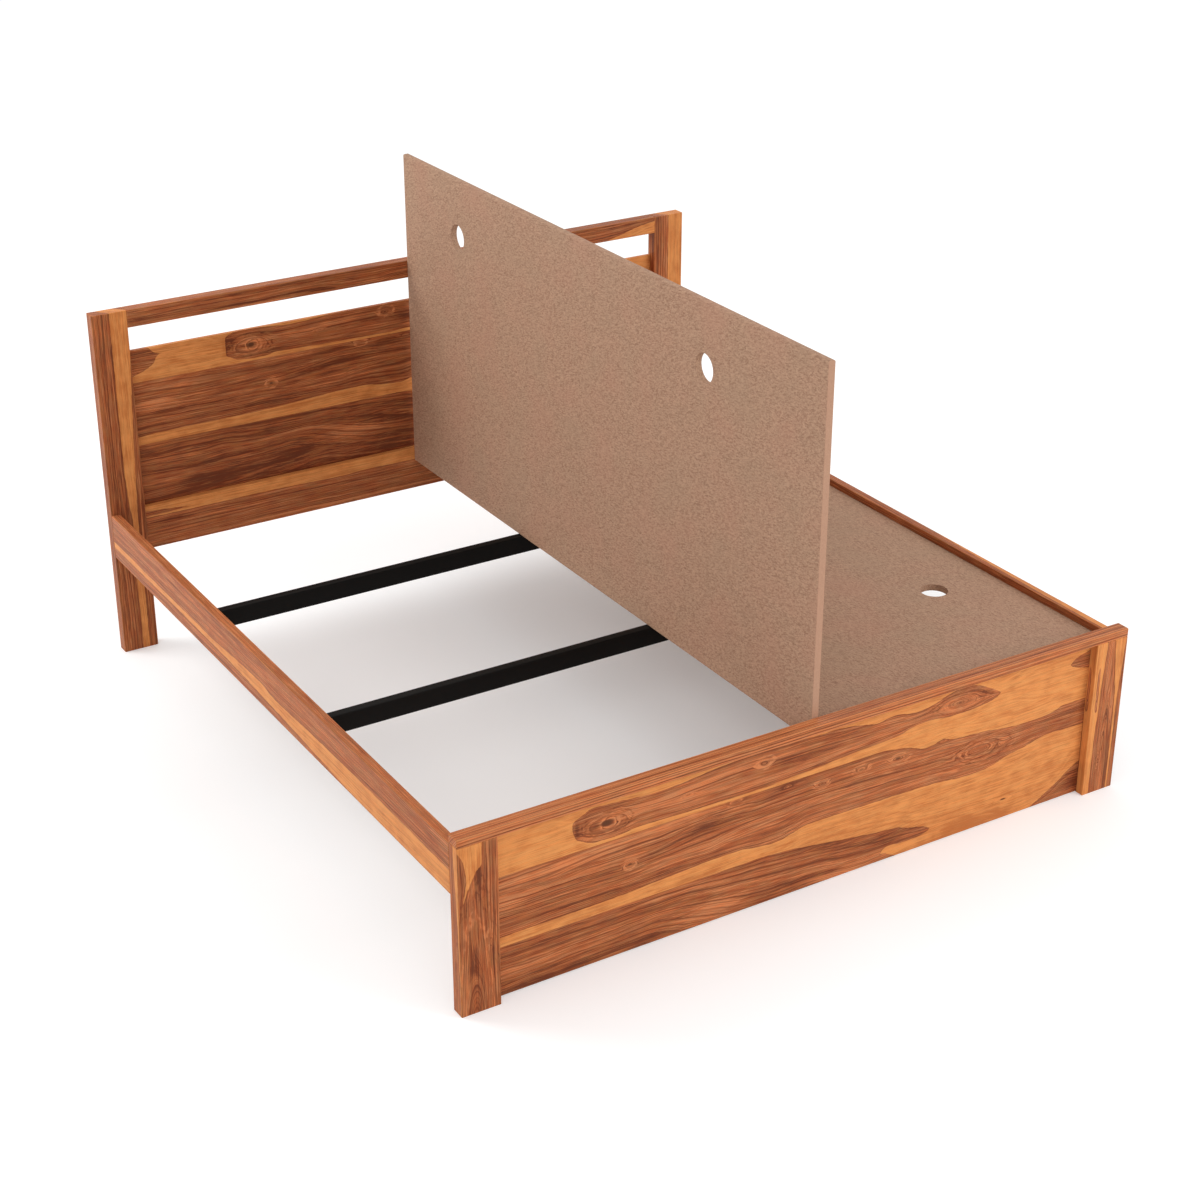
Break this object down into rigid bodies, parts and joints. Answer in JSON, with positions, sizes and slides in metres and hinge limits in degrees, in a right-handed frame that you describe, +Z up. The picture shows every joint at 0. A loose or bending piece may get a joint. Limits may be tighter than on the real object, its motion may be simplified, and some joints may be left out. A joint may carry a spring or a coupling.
{
  "type": "bed frame",
  "caption": "Low wooden double bed frame with a plank footboard to the floor, a taller slotted headboard, side rails, steel cross bars and loose mattress boards with finger holes.",
  "frame": {"origin": "on the floor, under the middle of the bed's outline", "axes": "+Y from the foot end to the head end, +X to the right seen from the foot end, +Z up"},
  "size_m": [1.88, 2.054, 1.312],
  "materials": {
    "sheesham_brown": "satin lacquer over red-brown heartwood",
    "sheesham_golden": "satin lacquer over golden sapwood",
    "batten_wood": "planed, satin lacquer",
    "black_steel": "black powder coat, satin",
    "zinc_fixings": "bright zinc plate",
    "dowel_wood": "raw beech",
    "board": "raw pressed fibre board, matt"
  },
  "bodies": {
    "frame": {"headboard_post_left": "sheesham_brown", "headboard_post_right": "sheesham_brown", "headboard_top_rail": "sheesham_brown", "headboard_plank_middle": "sheesham_brown", "headboard_plank_bottom": "sheesham_brown", "footboard_leg_left": "sheesham_brown", "footboard_leg_right": "sheesham_brown", "footboard_plank_middle": "sheesham_brown", "footboard_plank_bottom": "sheesham_brown", "side_rail_left": "sheesham_brown", "side_rail_right": "sheesham_brown", "headboard_bottom_rail": "sheesham_golden", "headboard_plank_top": "sheesham_golden", "footboard_cap_rail": "sheesham_golden", "footboard_plank_top": "sheesham_golden", "batten_left_foot": "batten_wood", "batten_left_middle": "batten_wood", "batten_left_head": "batten_wood", "batten_right_foot": "batten_wood", "batten_right_middle": "batten_wood", "batten_right_head": "batten_wood", "cross_bar_foot": "black_steel", "cross_bar_head": "black_steel", "bar_saddle_foot_left": "black_steel", "bar_saddle_foot_right": "black_steel", "bar_saddle_head_left": "black_steel", "bar_saddle_head_right": "black_steel", "corner_bracket_foot_left": "black_steel", "corner_bracket_foot_right": "black_steel", "corner_bracket_head_left": "black_steel", "corner_bracket_head_right": "black_steel", "corner_bolts": "zinc_fixings", "corner_inserts": "zinc_fixings", "bar_bolts": "zinc_fixings", "bar_nuts": "zinc_fixings", "headboard_plank_screws": "zinc_fixings", "footboard_plank_screws": "zinc_fixings", "batten_screws": "zinc_fixings", "saddle_screws": "zinc_fixings", "cap_dowels": "dowel_wood"},
    "board_left": {"mattress_board_left": "board"},
    "board_right": {"mattress_board_right": "board"}
  },
  "joints": [
    {"name": "left_board_tilt", "type": "hinge", "parent": "frame", "child": "board_left", "pos_m": [0.004, 0, 0.3935], "axis": [0, -1, 0], "range_deg": [0, 90]},
    {"name": "right_board_lift", "type": "slide", "parent": "frame", "child": "board_right", "axis": [0, 0, 1], "range_m": [0, 0.35]}
  ]
}
